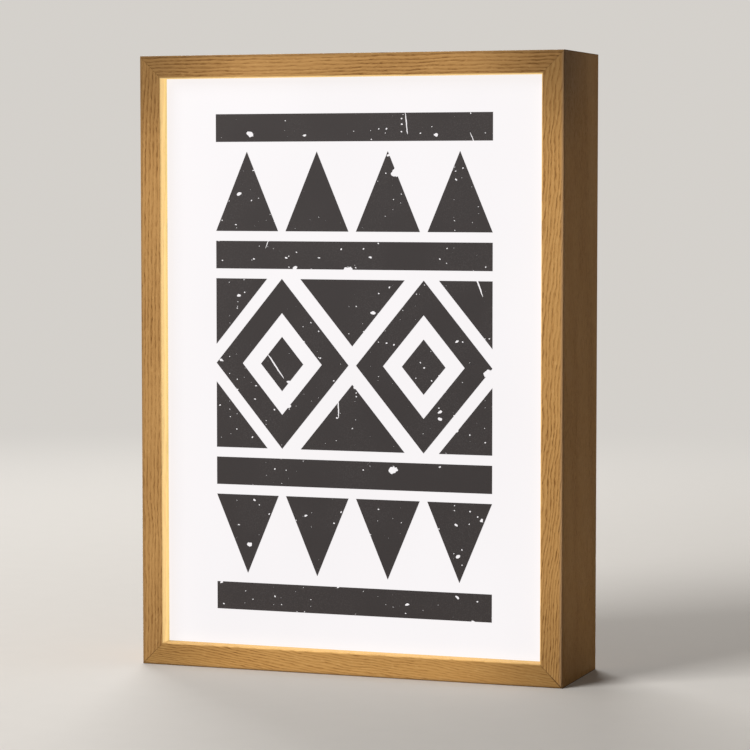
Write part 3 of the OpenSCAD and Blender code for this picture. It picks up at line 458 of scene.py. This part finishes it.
# ovals of bare face, one to a cell of a loose grid, each at its own size and tilt
def chipSpots(ink, flat, edge, chip, shift):
    torn = ink.vector("MULTIPLY_ADD", edge, (chip["ragged"], chip["ragged"], 0), flat)
    grid = ink.turned(torn, grey(1.0 / chip["apart"]), shift=shift)
    draw = ink.cells(grid, "Color", "2D")
    off = ink.vector("SUBTRACT", grid, draw.node.outputs["Position"])
    low, high = (math.radians(a) for a in chip["tilt"])
    angle = ink.calc("MULTIPLY_ADD", ink.axis(draw, (0, 1, 0)), high - low, low)
    values = {"Vector": off, "Angle": angle}
    level = ink.add("ShaderNodeVectorRotate", values, {"rotation_type": "Z_AXIS"})
    stretch = (chip["apart"] / chip["long"], chip["apart"], 0)
    reach = ink.length(ink.vector("MULTIPLY", level, stretch))
    chance = ink.axis(draw, (1, 0, 0))
    room = ink.span(chance, 1.0 - chip["share"], 1.0, 0.0, chip["half"])
    return reach, room


def printFinish():
    ink = Finish("print_ink", specular=0.15)
    flat = ink.turned(ink.mm, (1, 1, 1), (-90, 0, 0))
    edge = ink.noise(ink.turned(flat, grey(printInk["raggedness"])), detail=3.0, out=1)
    wear = ink.turned(flat, grey(printInk["wear"]), shift=printInk["wearFrom"])
    worn = ink.span(ink.noise(wear, detail=1.0), *printInk["wearBand"])
    acrossStep, upStep = printInk["chipSteps"]
    bare = 0.0
    for number, chip in enumerate(printInk["chips"].values()):
        shift = (number * acrossStep, number * upStep, 0)
        reach, room = chipSpots(ink, flat, edge, chip, shift)
        if chip["worn"]:
            room = ink.calc("MULTIPLY", room, worn)
        bare = ink.calc("MAXIMUM", bare, ink.calc("LESS_THAN", reach, room))

    stipple = ink.noise(ink.turned(flat, grey(printInk["stipple"])), detail=2.0)
    patch = ink.calc("MULTIPLY", ink.span(stipple, *printInk["stippleBand"]), worn)
    tint = ink.blend(patch, printInk["ink"], printInk["faded"])
    ink.give("Base Color", ink.blend(bare, tint, face["body"]))
    ink.shine(ink.blend(bare, grey(0.0), face["light"]))
    ink.roughen(stipple, printInk["rough"])
    height = ink.calc("MULTIPLY", stipple, printInk["stippleHeight"])
    height = ink.calc("SUBTRACT", height, bare)
    ink.bump(height, printInk["depth"], printInk["strength"])
    return ink.sheet


dress(printFinish(), "print_film")
print("face and print finished")

# hardboard back: two layers of pressed fibres, smooth and slightly polished
hardboard = {
    "tones": [
        (0.15, (0.150, 0.080, 0.037)),
        (0.48, (0.255, 0.146, 0.070)),
        (0.85, (0.365, 0.228, 0.118)),
    ],
    "fibre": (1.4, 1.4, 0.32),  # waves to the mm
    "layers": (35, -50),  # degrees
    "feltTone": (1.5, -0.36),  # gain and start
    "tufts": 0.9,
    "tangle": 2.4,  # mm
    "chips": 0.45,
    "chipBand": (0.10, 0.22),
    "chipTone": -0.26,
    "cloud": 0.02,
    "cloudTone": 0.20,
    "rough": (0.42, 0.60),
    "roughBand": (0.35, 0.65),
    "depth": 0.0001,  # metres
    "strength": 0.5,
}


def hardboardFinish():
    board = Finish("hardboard", specular=0.35)
    tuft = board.mottle(grey(hardboard["tufts"]), detail=3.0, out=1)
    tangled = board.vector("MULTIPLY_ADD", tuft, grey(hardboard["tangle"]), board.mm)
    share = 1 / len(hardboard["layers"])
    felt = 0.0
    for angle in hardboard["layers"]:
        strands = board.turned(tangled, hardboard["fibre"], (0, angle, 0))
        layer = board.noise(strands, detail=3.0, rough=0.6)
        felt = board.calc("MULTIPLY_ADD", layer, share, felt)
    cloud = board.mottle(grey(hardboard["cloud"]), detail=4.0, rough=0.6)
    chips = board.cells(board.turned(tangled, grey(hardboard["chips"])))
    chips = board.span(chips, *hardboard["chipBand"], 1.0, 0.0)
    tone = board.calc("MULTIPLY_ADD", felt, *hardboard["feltTone"])
    tone = board.calc("MULTIPLY_ADD", cloud, hardboard["cloudTone"], tone)
    tone = board.calc("MULTIPLY_ADD", chips, hardboard["chipTone"], tone)
    board.give("Base Color", board.ramp(tone, hardboard["tones"]))
    board.roughen(felt, hardboard["rough"], hardboard["roughBand"])
    board.bump(felt, hardboard["depth"], hardboard["strength"])
    return board.sheet


dress(hardboardFinish(), "back_panel")

# softwood battens, bare or primed white, with waves to the mm along each axis
primed = ((0.74, 0.71, 0.64), (0.84, 0.82, 0.76))
levelGrain = (0.012, 0.5, 0.5)
uprightGrain = (0.5, 0.5, 0.012)
softwoods = {
    "hanging_batten": {"tones": ((0.42, 0.27, 0.13), (0.66, 0.49, 0.28)), "grain": levelGrain},
    "mitre_keys": {
        "tones": ((0.20, 0.095, 0.036), (0.34, 0.18, 0.075)), "grain": (0.05, 0.5, 0.05),
    },
    "top_batten": {"tones": primed, "grain": levelGrain},
    "bottom_batten": {"tones": primed, "grain": levelGrain},
    "left_batten": {"tones": primed, "grain": uprightGrain},
    "right_batten": {"tones": primed, "grain": uprightGrain},
}
softwoodLook = {
    "fineness": 6,  # waves of fine grain to one of broad grain
    "broadShare": 0.7,
    "fineShare": 0.4,
    "toneBand": (0.35, 0.75),
    "rough": (0.55, 0.72),
    "depth": 0.00012,  # metres
    "strength": 0.5,
}


def softwoodFinish(name, wood, look):
    batten = Finish("softwood_" + name, specular=0.35)
    broad = batten.mottle(wood["grain"], detail=4.0, rough=0.6)
    fine = batten.mottle(tuple(v * look["fineness"] for v in wood["grain"]), detail=3.0)
    tone = batten.calc("MULTIPLY", broad, look["broadShare"])
    tone = batten.calc("MULTIPLY_ADD", fine, look["fineShare"], tone)
    batten.give("Base Color", batten.between(tone, look["toneBand"], wood["tones"]))
    batten.roughen(fine, look["rough"])
    batten.bump(tone, look["depth"], look["strength"])
    return batten.sheet


for name, wood in softwoods.items():
    dress(softwoodFinish(name, wood, softwoodLook), name)
print("wood finished")

# metals: tones, waves to the mm along each axis, roughness, and mm down to the full dark tone
zinc = {
    "tones": ((0.34, 0.34, 0.35), (0.58, 0.58, 0.59)), "grain": (2.2, 2.2, 2.2),
    "rough": (0.24, 0.44), "recess": 0.5,
}
metals = {
    "zincPanel": {**zinc, "nodes": ["panel_screws"]},
    "zincPlate": {
        **zinc, "tones": ((0.30, 0.30, 0.31), (0.52, 0.52, 0.53)), "nodes": ["keyhole_screws"],
    },
    "zincInside": {**zinc, "recess": 0.0, "nodes": ["board_screws", "tub_screws", "socket_nut"]},
    "plate": {
        "tones": ((0.40, 0.40, 0.41), (0.66, 0.66, 0.67)), "grain": (7.0, 1.0, 0.10),
        "rough": (0.24, 0.46), "recess": 0.0, "nodes": ["keyhole_plates"],
    },
    "nickel": {
        "tones": ((0.60, 0.58, 0.55), (0.78, 0.76, 0.72)), "grain": (1.2, 1.2, 1.2),
        "rough": (0.16, 0.30), "recess": 0.0, "nodes": ["contact_springs", "contact_plates"],
    },
    "brass": {
        "tones": ((0.50, 0.36, 0.13), (0.80, 0.62, 0.28)), "grain": (2.0, 2.0, 2.0),
        "rough": (0.18, 0.36), "recess": 0.0,
        "nodes": ["switch_terminals", "socket_pin", "socket_terminals"],
    },
}
metalLook = {
    "dull": 0.3,  # waves to the mm
    "lineShare": 0.7,
    "dullShare": 0.3,
    "toneBand": (0.36, 0.62),
    "deepTone": (0.045, 0.042, 0.038),
    "deepFrom": 0.05,  # mm down
    "depth": 0.00003,  # metres
    "strength": 0.35,
}


def metalFinish(name, metal, look):
    bright = Finish("metal_" + name, metallic=1.0)
    lines = bright.mottle(metal["grain"], detail=4.0, rough=0.6)
    dull = bright.mottle(grey(look["dull"]), detail=3.0)
    tone = bright.calc("MULTIPLY", lines, look["lineShare"])
    tone = bright.calc("MULTIPLY_ADD", dull, look["dullShare"], tone)
    colour = bright.between(tone, look["toneBand"], metal["tones"])
    # darker with depth below the top of the screw heads, down to a near-black tone
    if metal["recess"]:
        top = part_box(metal["nodes"][0])[1].y * mmPerMetre
        below = bright.calc("SUBTRACT", top, bright.axis(bright.mm, (0, 1, 0)))
        deepShare = bright.span(below, look["deepFrom"], metal["recess"])
        colour = bright.blend(deepShare, colour, look["deepTone"])
    bright.give("Base Color", colour)
    bright.roughen(lines, metal["rough"])
    bright.bump(lines, look["depth"], look["strength"])
    return bright.sheet


for name, metal in metals.items():
    dress(metalFinish(name, metal, metalLook), *metal["nodes"])

# moulded plastics, rubber and board: tones, waves to the mm, their depth in metres, roughness
mouldings = {
    "black_moulding": {
        "tones": ((0.026, 0.026, 0.028), (0.042, 0.042, 0.044)), "texture": 3.2, "depth": 0.00006,
        "rough": (0.38, 0.56),
        "nodes": ["battery_tub", "battery_door", "switch_housing", "power_socket"],
    },
    "rocker": {
        "tones": ((0.017, 0.017, 0.018), (0.026, 0.026, 0.028)), "texture": 1.2, "depth": 0.00001,
        "rough": (0.22, 0.34), "nodes": ["switch_rocker"],
    },
    "rubber": {
        "tones": ((0.022, 0.022, 0.022), (0.036, 0.036, 0.036)), "texture": 1.8, "depth": 0.00003,
        "rough": (0.62, 0.80), "nodes": ["cable_grommet"],
    },
    "whiteBoard": {
        "tones": ((0.80, 0.80, 0.78), (0.88, 0.88, 0.86)), "texture": 0.8, "depth": 0.00004,
        "rough": (0.50, 0.66), "nodes": ["light_board"],
    },
    "lampStrip": {
        "tones": ((0.74, 0.70, 0.58), (0.84, 0.80, 0.66)), "texture": 1.4, "depth": 0.00002,
        "rough": (0.34, 0.48), "nodes": ["lamp_strips"],
    },
    "lamp": {
        "tones": ((0.86, 0.68, 0.22), (0.94, 0.82, 0.36)), "texture": 0.9, "depth": 0.00002,
        "rough": (0.24, 0.40), "nodes": ["lamps"],
    },
    "circuitBoard": {
        "tones": ((0.030, 0.150, 0.060), (0.065, 0.260, 0.105)), "texture": 0.5, "depth": 0.00003,
        "rough": (0.30, 0.46), "nodes": ["driver_board"],
    },
    "nylon": {
        "tones": ((0.72, 0.70, 0.63), (0.82, 0.80, 0.74)), "texture": 1.0, "depth": 0.00002,
        "rough": (0.38, 0.52), "nodes": ["driver_posts"],
    },
    "ferrite": {
        "tones": ((0.045, 0.038, 0.034), (0.080, 0.066, 0.058)), "texture": 3.0, "depth": 0.00004,
        "rough": (0.58, 0.76), "nodes": ["driver_coil"],
    },
    "canSleeve": {
        "tones": ((0.075, 0.120, 0.190), (0.120, 0.180, 0.260)), "texture": 0.8, "depth": 0.00001,
        "rough": (0.26, 0.40), "nodes": ["driver_capacitors"],
    },
    "chip": {
        "tones": ((0.016, 0.016, 0.018), (0.028, 0.028, 0.030)), "texture": 3.4, "depth": 0.00003,
        "rough": (0.46, 0.62), "nodes": ["driver_chips"],
    },
    "redLead": {
        "tones": ((0.38, 0.022, 0.018), (0.52, 0.038, 0.030)), "texture": 0.7, "depth": 0.00001,
        "rough": (0.34, 0.48), "nodes": ["red_leads"],
    },
    "blackLead": {
        "tones": ((0.016, 0.016, 0.016), (0.026, 0.026, 0.026)), "texture": 0.7, "depth": 0.00001,
        "rough": (0.34, 0.48), "nodes": ["black_leads"],
    },
}
mouldedLook = {
    "rub": 0.12,  # waves to the mm
    "sparkShare": 0.65,
    "rubShare": 0.35,
    "toneBand": (0.36, 0.64),
    "strength": 0.6,
}


def mouldedFinish(name, piece, look):
    plastic = Finish("moulded_" + name, specular=0.45)
    spark = plastic.mottle(grey(piece["texture"]))
    rub = plastic.mottle(grey(look["rub"]), detail=4.0, rough=0.6)
    tone = plastic.calc("MULTIPLY", rub, look["rubShare"])
    tone = plastic.calc("MULTIPLY_ADD", spark, look["sparkShare"], tone)
    plastic.give("Base Color", plastic.between(tone, look["toneBand"], piece["tones"]))
    plastic.roughen(rub, piece["rough"])
    plastic.bump(spark, piece["depth"], look["strength"])
    return plastic.sheet


for name, piece in mouldings.items():
    dress(mouldedFinish(name, piece, mouldedLook), *piece["nodes"])

# cells: a plain wrapped jacket between bare metal ends
cell = {
    "jacket": ((0.048, 0.090, 0.125), (0.062, 0.110, 0.148)),
    "metal": (0.70, 0.69, 0.67),
    "seam": (0.020, 0.036, 0.050),
    "seamShare": 0.5,
    "row": 4,
    "bareEnd": 6.4,  # mm in from the ends of the whole row
    "blur": 0.1,
    "closes": 9.6,  # mm across each cell to the line where its wrap closes
    "overlap": 0.4,
    "rub": 0.10,  # waves to the mm
    "ripple": (0.35, 0.35, 0.05),
    "rough": (0.28, 0.38),
    "depth": 0.00006,  # metres
    "strength": 0.3,
}


def cellFinish():
    wrap = Finish("cell_wrap")
    low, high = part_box("battery_cells")
    middle = (low + high) * mmPerMetre / 2
    bareFrom = (high.z - low.z) * mmPerMetre / 2 - cell["bareEnd"]
    fromMiddle = wrap.calc("SUBTRACT", wrap.axis(wrap.mm, (0, 0, 1)), middle.z)
    ends = wrap.calc("ABSOLUTE", fromMiddle)
    bare = wrap.span(ends, bareFrom - cell["blur"], bareFrom + cell["blur"])
    rub = wrap.mottle(grey(cell["rub"]), detail=1.0)
    pitch = (high.x - low.x) * mmPerMetre / cell["row"]
    across = wrap.calc("SUBTRACT", wrap.axis(wrap.mm, (1, 0, 0)), low.x * mmPerMetre)
    within = wrap.calc("MULTIPLY", wrap.calc("FRACT", wrap.calc("DIVIDE", across, pitch)), pitch)
    fromSeam = wrap.calc("ABSOLUTE", wrap.calc("SUBTRACT", within, cell["closes"]))
    closing = wrap.span(fromSeam, 0.0, cell["overlap"], cell["seamShare"], 0.0)
    jacket = wrap.blend(closing, wrap.blend(rub, *cell["jacket"]), cell["seam"])
    wrap.give("Base Color", wrap.blend(bare, jacket, cell["metal"]))
    wrap.give("Metallic", bare)
    wrap.roughen(rub, cell["rough"])
    wrap.bump(wrap.mottle(cell["ripple"], detail=1.0), cell["depth"], cell["strength"])
    return wrap.sheet


dress(cellFinish(), "battery_cells")
print("metals, mouldings and cells finished")

# switch marks: a bar on the pressed half and a ring on the raised half, in metres
marks = {
    "bar": (0.00055, 0.0028),  # width and length
    "barRound": 0.45,  # share of its width
    "ring": (0.00095, 1.42),  # inner radius, outer as a share of it
    "ringSides": 48,
    "thick": 0.00008,
    "paint": ((0.70, 0.69, 0.66), (0.82, 0.81, 0.78)),
    "rub": 2.5,  # waves to the mm
    "rough": (0.40, 0.55),
    "upperPlace": (-0.00217, 0.00292),  # across and up from the rocker pivot
    "lowerPlace": (-0.00304, -0.00200),
    "lowerTilt": 20,  # degrees
}
pivot = Vector(next(j for j in frame["joints"] if j["name"] == "rocker_tilt")["pos_m"])


def markFinish():
    paint = Finish("mark_paint", specular=0.4)
    rub = paint.mottle(grey(marks["rub"]), detail=3.0)
    paint.give("Base Color", paint.blend(rub, *marks["paint"]))
    paint.roughen(rub, marks["rough"])
    return paint.sheet


def seatMark(mark, name, place, tilt, paint):
    bpy.ops.object.mode_set(mode="OBJECT")
    mark.name = name
    mark.data.name = name
    wall = mark.modifiers.new("wall", "SOLIDIFY")
    wall.thickness = marks["thick"]
    wall.offset = 0.0
    bpy.ops.object.modifier_apply(modifier="wall")
    mark.rotation_euler = (0, math.radians(tilt - 90), 0)
    mark.location = pivot + Vector((place[0], 0, place[1]))
    bpy.ops.object.transform_apply(location=True, rotation=True, scale=True)
    mark.data.materials.append(paint)
    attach(mark, "rocker")


markPaint = markFinish()
barWidth, barLength = marks["bar"]
bpy.ops.object.select_all(action="DESELECT")
bpy.ops.mesh.primitive_plane_add(size=1.0)
bpy.ops.object.mode_set(mode="EDIT")
bpy.ops.transform.resize(value=(barLength, barWidth, 1))
bpy.ops.mesh.bevel(affect="VERTICES", offset=barWidth * marks["barRound"], segments=4)
seatMark(bpy.context.object, "on_mark", marks["upperPlace"], 0, markPaint)

ringInner, ringGrowth = marks["ring"]
bpy.ops.object.select_all(action="DESELECT")
bpy.ops.mesh.primitive_circle_add(vertices=marks["ringSides"], radius=ringInner)
bpy.ops.object.mode_set(mode="EDIT")
bpy.ops.mesh.select_all(action="SELECT")
bpy.ops.mesh.extrude_edges_move()
bpy.ops.transform.resize(value=(ringGrowth, ringGrowth, 1))
bpy.ops.mesh.select_all(action="SELECT")
bpy.ops.mesh.normals_make_consistent(inside=False)
seatMark(bpy.context.object, "off_mark", marks["lowerPlace"], marks["lowerTilt"], markPaint)
print("switch marks seated")

# studio: a pale floor that runs into a pale surround
studio = {
    "pale": (0.66, 0.635, 0.60),
    "ambient": 0.13,
    "ambientTone": (1.0, 0.92, 0.84),
    "floorSize": 40.0,  # metres
    "floorTone": (0.60, 0.575, 0.54),
    "floorSpeck": 60.0,  # waves to the metre
    "speckTone": 1.03,
    "floorBounce": (0.24, 0.205, 0.170),  # tone that lights the box from below
    "fade": (0.30, 1.5),  # metres from the box
}
lamps = {
    "key": {"place": (-1.25, -1.75, 1.45), "size": 1.3, "power": 69.5},
    "rear": {"place": (-1.0, 1.7, 1.2), "size": 1.2, "power": 40.0},
}


# share of rays that see the backdrop itself: camera, mirror and glass rays
def seenDirectly(tree):
    path = tree.nodes.new("ShaderNodeLightPath")
    seen = path.outputs["Is Camera Ray"]
    for other in ("Is Glossy Ray", "Is Transmission Ray"):
        either = tree.nodes.new("ShaderNodeMath")
        either.operation = "MAXIMUM"
        tree.links.new(seen, either.inputs[0])
        tree.links.new(path.outputs[other], either.inputs[1])
        seen = either.outputs[0]
    return seen


# one shader giving way to another, into the tree's output
def mixInto(tree, share, first, second, ending):
    mix = tree.nodes.new("ShaderNodeMixShader")
    for place, source in enumerate((share, first, second)):
        tree.links.new(source, mix.inputs[place])
    tree.links.new(mix.outputs[0], ending.inputs["Surface"])


surround = bpy.data.worlds.new("studio")
surround.use_nodes = True
scene.world = surround
sky = surround.node_tree
sky.nodes.clear()
ambient = sky.nodes.new("ShaderNodeBackground")
ambient.inputs["Color"].default_value = (*studio["ambientTone"], 1.0)
ambient.inputs["Strength"].default_value = studio["ambient"]
backdrop = sky.nodes.new("ShaderNodeBackground")
backdrop.inputs["Color"].default_value = (*studio["pale"], 1.0)
skyEnding = sky.nodes.new("ShaderNodeOutputWorld")
mixInto(sky, seenDirectly(sky), ambient.outputs[0], backdrop.outputs[0], skyEnding)

bpy.ops.object.select_all(action="DESELECT")
bpy.ops.mesh.primitive_plane_add(size=studio["floorSize"])
floor = bpy.context.object
floor.name = "floor"
ground = Finish("floor", roughness=0.9, specular=0.1)
speck = ground.noise(ground.turned(ground.metres, grey(studio["floorSpeck"])), detail=3.0)
paler = tuple(v * studio["speckTone"] for v in studio["floorTone"])
seen = seenDirectly(ground.tree)
tone = ground.blend(speck, studio["floorTone"], paler)
ground.give("Base Color", ground.blend(seen, studio["floorBounce"], tone))
far = ground.span(ground.length(ground.metres), *studio["fade"])
beyond = ground.tree.nodes.new("ShaderNodeEmission")
beyond.inputs["Color"].default_value = (*studio["pale"], 1.0)
share = ground.calc("MULTIPLY", far, seen)
groundEnding = ground.tree.nodes["Material Output"]
mixInto(ground.tree, share, ground.shader.outputs[0], beyond.outputs[0], groundEnding)
floor.data.materials.append(ground.sheet)

target = (Vector(cadBox[0]) + Vector(cadBox[1])) / 2
for name, lamp in lamps.items():
    place = Vector(lamp["place"])
    aim = (target - place).to_track_quat("-Z", "Y").to_euler()
    bpy.ops.object.light_add(type="AREA", location=place, rotation=aim)
    light = bpy.context.object
    light.name = name
    light.data.size = lamp["size"]
    light.data.energy = lamp["power"]
print("studio lit")
